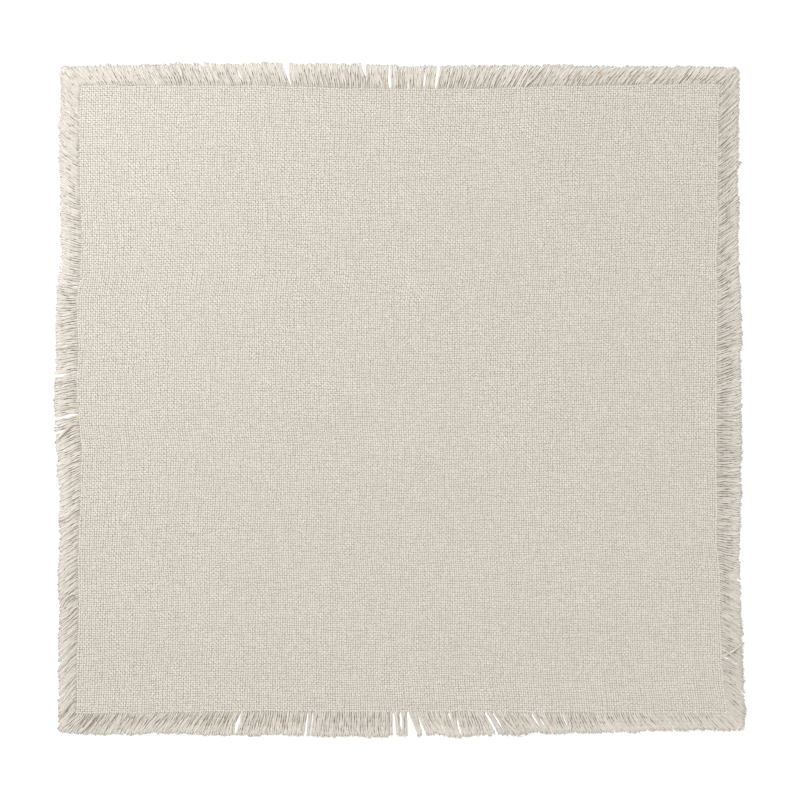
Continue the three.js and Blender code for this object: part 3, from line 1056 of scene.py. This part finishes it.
def loose_fibres(fringe, comb, rng):
    """Fine fibres that stand out of the yarns, most of them towards their ends."""
    count, rings = comb.across.shape
    line = middle_lines(comb)
    softness = np.maximum(comb.fluff, 0)
    each = np.round(fringe.fibres * (0.8 + 4.0 * softness ** 2)).astype(int)
    yarn = np.repeat(np.arange(count), each)
    ring = np.clip((rng.beta(3.2, 1.1, len(yarn)) * (rings - 2)).astype(int), 0, rings - 2)
    base = line[yarn, ring]
    heading = line[yarn, ring + 1] - base
    angle = np.arctan2(heading[:, 0], heading[:, 1]) + rng.normal(0, 0.75, len(yarn))
    fuzz = (1 + 0.25 * smooth_noise(rng, count, 18.0)) * (1 + 0.8 * softness)
    reach = rng.uniform(1.6, 4.2, len(yarn)) * MM * fuzz[yarn]
    curve = rng.normal(0, 0.7, len(yarn))
    rise = rng.uniform(-0.2, 0.9, len(yarn)) * MM
    return thin_strands(comb, yarn, base, angle, curve, reach, rise, 0.055 * MM, 3)


def frayed_ends(fringe, comb, rng):
    """The short fibres that each yarn's end opens into."""
    count, rings = comb.across.shape
    line = middle_lines(comb)
    yarn = np.repeat(np.arange(count), fringe.frayed)
    back = rng.uniform(0, 1, len(yarn))[:, None]
    base = line[yarn, rings - 1] * (1 - back) + line[yarn, rings - 2] * back
    heading = line[yarn, rings - 1] - line[yarn, rings - 2]
    direction = np.arctan2(heading[:, 0], heading[:, 1])
    beside = np.stack([np.cos(direction), -np.sin(direction), np.zeros_like(direction)], axis=-1)
    aside = rng.uniform(-1, 1, len(yarn))
    base = base + beside * (aside * 0.8 * MM)[:, None]
    angle = direction + 0.45 * aside + rng.normal(0, 0.2, len(yarn))
    reach = rng.uniform(1.2, 3.6, len(yarn)) * MM * (1 + 0.8 * np.maximum(comb.fluff[yarn], 0))
    curve = rng.normal(0, 0.3, len(yarn))
    rise = rng.uniform(-0.3, 0.3, len(yarn)) * MM
    return thin_strands(comb, yarn, base, angle, curve, reach, rise, 0.12 * MM, 2)


def tube_faces(numbers):
    """Faces of closed tubes, for point numbers set out by tube, ring and side."""
    here = numbers[:, :-1]
    there = numbers[:, 1:]
    following = np.roll(here, -1, axis=2)
    following_there = np.roll(there, -1, axis=2)
    walls = np.stack([here, there, following_there, following], axis=-1).reshape(-1, 4)
    starts = numbers[:, 0, :]
    ends = numbers[:, -1, ::-1]
    caps = np.concatenate([starts, ends])
    corners = np.concatenate([walls.ravel(), caps.ravel()])
    sizes = np.concatenate([np.full(len(walls), 4), np.full(len(caps), caps.shape[1])])
    return corners, sizes


def fringe_mesh(cloth, fringe, side):
    """All loose yarns of one side with their cores and fibres, as one mesh."""
    comb, rng = comb_side(cloth, fringe, side)
    parts = [
        twist_plies(fringe, comb, rng),
        soft_cores(fringe, comb, rng),
        loose_fibres(fringe, comb, rng),
        frayed_ends(fringe, comb, rng),
    ]
    u, v, height = np.concatenate([part.points.reshape(-1, 3) for part in parts]).T
    points = np.stack([*on_napkin(side, u, v), height], axis=-1)

    corners, sizes, used = [], [], 0
    for part in parts:
        shape = part.points.shape[:3]
        numbers = np.arange(math.prod(shape)).reshape(shape) + used
        used += numbers.size
        part_corners, part_sizes = tube_faces(numbers)
        corners.append(part_corners)
        sizes.append(part_sizes)
    corners = np.concatenate(corners)
    sizes = np.concatenate(sizes)
    handed = side.along[0] * side.outward[1] - side.along[1] * side.outward[0]
    if handed > 0:
        corners = turn_faces(corners, sizes)

    attributes = {}
    for title in ("hollow", "run", "reach", "around", "shade"):
        values = [np.broadcast_to(getattr(part, title), part.points.shape[:3]).ravel() for part in parts]
        attributes[title] = np.concatenate(values)
    return fill_mesh(f"fringe_{side.name}_yarns", points, corners, sizes, attributes)


def turn_faces(corners, sizes):
    """The same faces seen from their other side."""
    starts = face_starts(sizes)
    owner = np.repeat(np.arange(len(sizes)), sizes)
    inside = np.arange(len(corners)) - starts[owner]
    return corners[starts[owner] + sizes[owner] - 1 - inside]


class NAPKIN_OT_comb_fringe(bpy.types.Operator):
    """Draw the outer yarns out and comb them into the four fringes"""

    bl_idname = "napkin.comb_fringe"
    bl_label = "Comb the fringe"

    def execute(self, context):
        settings = context.scene.napkin
        material = fringe_cotton(settings.fringe)
        for side in SIDES:
            mesh = fringe_mesh(settings.cloth, settings.fringe, side)
            add_piece(f"loose_yarns_{side.name}", mesh, material, f"fringe_{side.name}")
        return {"FINISHED"}


class NAPKIN_OT_weave_ground(bpy.types.Operator):
    """Weave the square ground from warp and weft yarns"""

    bl_idname = "napkin.weave_ground"
    bl_label = "Weave the ground"

    def execute(self, context):
        cloth = context.scene.napkin.cloth
        material = woven_cotton(cloth)
        warp_mesh = weave_yarns("warp_yarns", cloth, False, 5)
        weft_mesh = weave_yarns("weft_yarns", cloth, True, 6)
        warp = add_piece("woven_warp", warp_mesh, material, "ground")
        weft = add_piece("woven_weft", weft_mesh, material, "ground")
        return {"FINISHED"}


class NAPKIN_OT_set_stage(bpy.types.Operator):
    """Set out the white light table, the soft lamps and the camera straight above"""

    bl_idname = "napkin.set_stage"
    bl_label = "Set the stage"

    def execute(self, context):
        stage = context.scene.napkin.stage
        add_table_top(stage)
        add_lights(stage)
        add_camera(stage)
        context.scene.view_settings.view_transform = "Standard"
        return {"FINISHED"}


def add_table_top(stage):
    half = stage.table_size / 2
    corners = [(-half, -half), (half, -half), (half, half), (-half, half)]
    mesh = bpy.data.meshes.new("table_top")
    mesh.from_pydata([(x, y, TABLE_LEVEL) for x, y in corners], [], [(0, 1, 2, 3)])
    mesh.materials.append(table_paint(stage))
    put_in_scene("table_top", mesh)


def add_lights(stage):
    window = bpy.data.lights.new("window_light", "SUN")
    window.angle = math.radians(28)
    window.energy = stage.window_strength
    add_light(window, (-0.80, 0.75, 1.10), (0.0, 0.0, 0.0))
    lamp = bpy.data.lights.new("corner_lamp", "AREA")
    lamp.shape = "DISK"
    lamp.size = 0.4
    lamp.color = (0.93, 0.93, 1.0)
    lamp.energy = stage.lamp_power
    add_light(lamp, (-0.50, 0.42, 0.40), (-0.10, 0.10, 0.0))
    world = bpy.data.worlds.new("soft_room")
    world.use_nodes = True
    inputs = world.node_tree.nodes["Background"].inputs
    inputs["Color"].default_value = (1.0, 1.0, 1.0, 1.0)
    inputs["Strength"].default_value = stage.sky_strength
    bpy.context.scene.world = world


def add_light(light, place, target):
    """Hangs a light at a place and points it at the target."""
    holder = put_in_scene(light.name, light)
    holder.location = place
    holder.rotation_euler = (Vector(target) - Vector(place)).to_track_quat("-Z", "Y").to_euler()


def add_camera(stage):
    camera = bpy.data.cameras.new("overhead_camera")
    camera.lens = 85
    camera.sensor_width = 36
    holder = put_in_scene("overhead_camera", camera)
    holder.location = (0.0011, -0.0006, stage.camera_height)
    bpy.context.scene.camera = holder


class NAPKIN_PT_workbench(bpy.types.Panel):
    """Sizes, colours and the steps that make the napkin"""

    bl_idname = "NAPKIN_PT_workbench"
    bl_label = "Fringed napkin"
    bl_space_type = "VIEW_3D"
    bl_region_type = "UI"
    bl_category = "Napkin"

    def draw(self, context):
        settings = context.scene.napkin
        for group in (settings.cloth, settings.fringe, settings.stage):
            box = self.layout.box()
            for name in group.bl_rna.properties.keys():
                if name not in ("rna_type", "name"):
                    box.prop(group, name)
        self.layout.operator(NAPKIN_OT_comb_fringe.bl_idname)
        self.layout.operator(NAPKIN_OT_weave_ground.bl_idname)
        self.layout.operator(NAPKIN_OT_set_stage.bl_idname)


CLASSES = (
    ClothSettings,
    FringeSettings,
    StageSettings,
    NapkinSettings,
    NAPKIN_OT_comb_fringe,
    NAPKIN_OT_weave_ground,
    NAPKIN_OT_set_stage,
    NAPKIN_PT_workbench,
)


def register():
    for cls in CLASSES:
        bpy.utils.register_class(cls)
    bpy.types.Scene.napkin = bpy.props.PointerProperty(type=NapkinSettings)


def unregister():
    del bpy.types.Scene.napkin
    for cls in reversed(CLASSES):
        bpy.utils.unregister_class(cls)


def main():
    register()
    bpy.ops.napkin.comb_fringe()
    bpy.ops.napkin.weave_ground()
    bpy.ops.napkin.set_stage()


if __name__ == "__main__":
    main()
